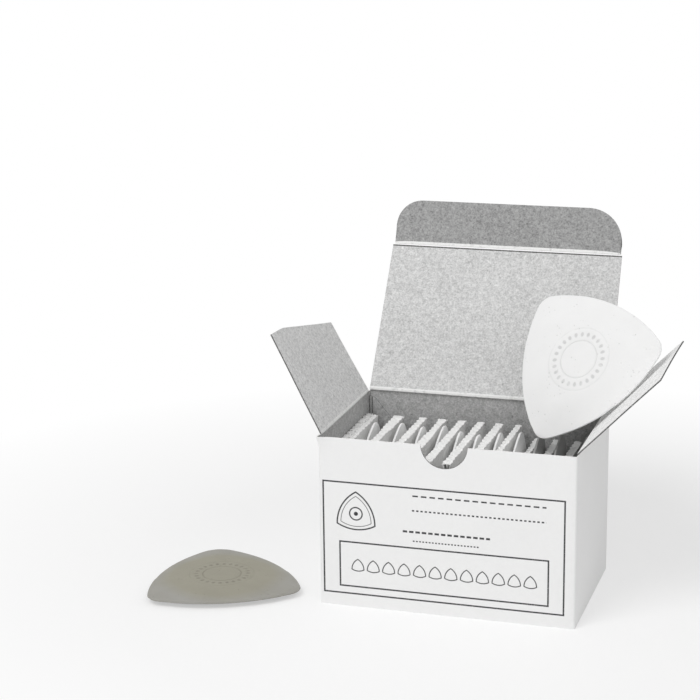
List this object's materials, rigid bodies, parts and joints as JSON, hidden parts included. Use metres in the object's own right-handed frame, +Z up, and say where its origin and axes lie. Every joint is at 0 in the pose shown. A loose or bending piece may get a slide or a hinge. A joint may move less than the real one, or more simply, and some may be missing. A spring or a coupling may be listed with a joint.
{
  "type": "tailors chalk set",
  "caption": "Tuck-top paperboard carton of triangular tailors chalks on edge between corrugated pads, one drawn out and one lying loose beside it.",
  "frame": {"origin": "centre of the carton's bottom face, on the surface it stands on", "axes": "+Z up, the carton's labelled front faces -Y, +X to the viewer's right when facing the front"},
  "size_m": [0.1907, 0.1261, 0.134],
  "materials": {
    "outer_board": "smooth white outside, speckled grey inside",
    "inner_board": "speckled grey",
    "pad_board": "light corrugated board",
    "white_chalk": "matt, dusty",
    "grey_chalk": "matt, dusty",
    "olive_chalk": "matt, faint wax sheen"
  },
  "bodies": {
    "carton": {"front_panel": "outer_board", "back_panel": "outer_board", "left_panel": "outer_board", "right_panel": "outer_board", "glue_flap": "inner_board", "bottom_panel": "outer_board", "bottom_flap_left": "inner_board", "bottom_flap_right": "inner_board", "pad_1": "pad_board", "pad_2": "pad_board", "pad_3": "pad_board", "pad_4": "pad_board", "pad_5": "pad_board", "pad_6": "pad_board", "pad_7": "pad_board", "pad_8": "pad_board", "pad_9": "pad_board", "pad_10": "pad_board", "pad_11": "pad_board"},
    "lid": {"lid_panel": "outer_board"},
    "tuck": {"tuck_flap": "outer_board"},
    "left_flap": {"left_dust_flap": "outer_board"},
    "right_flap": {"right_dust_flap": "outer_board"},
    "chalk_1": {"chalk_1": "white_chalk"},
    "chalk_2": {"chalk_2": "white_chalk"},
    "chalk_3": {"chalk_3": "white_chalk"},
    "chalk_4": {"chalk_4": "white_chalk"},
    "chalk_5": {"chalk_5": "white_chalk"},
    "chalk_6": {"chalk_6": "white_chalk"},
    "chalk_7": {"chalk_7": "white_chalk"},
    "chalk_8": {"chalk_8": "white_chalk"},
    "chalk_9": {"chalk_9": "grey_chalk"},
    "chalk_10": {"chalk_10": "grey_chalk"},
    "chalk_11": {"chalk_11": "grey_chalk"},
    "drawn_chalk": {"drawn_chalk": "white_chalk"},
    "loose_chalk": {"loose_chalk": "olive_chalk"}
  },
  "joints": [
    {"name": "lid_hinge", "type": "hinge", "parent": "carton", "child": "lid", "pos_m": [0, 0.0312, 0.06605], "axis": [-1, 0, 0], "range_deg": [-124.6, 0]},
    {"name": "tuck_hinge", "type": "hinge", "parent": "lid", "child": "tuck", "pos_m": [0, 0.06649, 0.11721], "axis": [-1, 0, 0], "range_deg": [-78, 12]},
    {"name": "left_flap_hinge", "type": "hinge", "parent": "carton", "child": "left_flap", "pos_m": [-0.04765, 0, 0.06545], "axis": [0, -1, 0], "range_deg": [-119, 84]},
    {"name": "right_flap_hinge", "type": "hinge", "parent": "carton", "child": "right_flap", "pos_m": [0.04765, 0, 0.06545], "axis": [0, 1, 0], "range_deg": [-1.2, 69]},
    {"name": "chalk_1_lift", "type": "slide", "parent": "carton", "child": "chalk_1", "axis": [0, 0, 1], "range_m": [0, 0.062]},
    {"name": "chalk_2_lift", "type": "slide", "parent": "carton", "child": "chalk_2", "axis": [0, 0, 1], "range_m": [0, 0.062]},
    {"name": "chalk_3_lift", "type": "slide", "parent": "carton", "child": "chalk_3", "axis": [0, 0, 1], "range_m": [0, 0.062]},
    {"name": "chalk_4_lift", "type": "slide", "parent": "carton", "child": "chalk_4", "axis": [0, 0, 1], "range_m": [0, 0.062]},
    {"name": "chalk_5_lift", "type": "slide", "parent": "carton", "child": "chalk_5", "axis": [0, 0, 1], "range_m": [0, 0.062]},
    {"name": "chalk_6_lift", "type": "slide", "parent": "carton", "child": "chalk_6", "axis": [0, 0, 1], "range_m": [0, 0.062]},
    {"name": "chalk_7_lift", "type": "slide", "parent": "carton", "child": "chalk_7", "axis": [0, 0, 1], "range_m": [0, 0.062]},
    {"name": "chalk_8_lift", "type": "slide", "parent": "carton", "child": "chalk_8", "axis": [0, 0, 1], "range_m": [0, 0.013]},
    {"name": "chalk_9_lift", "type": "slide", "parent": "carton", "child": "chalk_9", "axis": [0, 0, 1], "range_m": [0, 0.004]},
    {"name": "chalk_10_lift", "type": "slide", "parent": "carton", "child": "chalk_10", "axis": [0, 0, 1], "range_m": [0, 0.0055]},
    {"name": "chalk_11_lift", "type": "slide", "parent": "carton", "child": "chalk_11", "axis": [0, 0, 1], "range_m": [0, 0.0105]},
    {"name": "drawn_chalk_slide", "type": "slide", "parent": "carton", "child": "drawn_chalk", "axis": [0, -0.6, 0.8], "range_m": [0, 0.15]},
    {"name": "loose_chalk_lift", "type": "slide", "parent": "carton", "child": "loose_chalk", "axis": [0, 0, 1], "range_m": [0, 0.04]}
  ],
  "couplings": [
    {"joint": "drawn_chalk_slide", "follows": "lid_hinge", "m_per_rad": -0.06893}
  ]
}
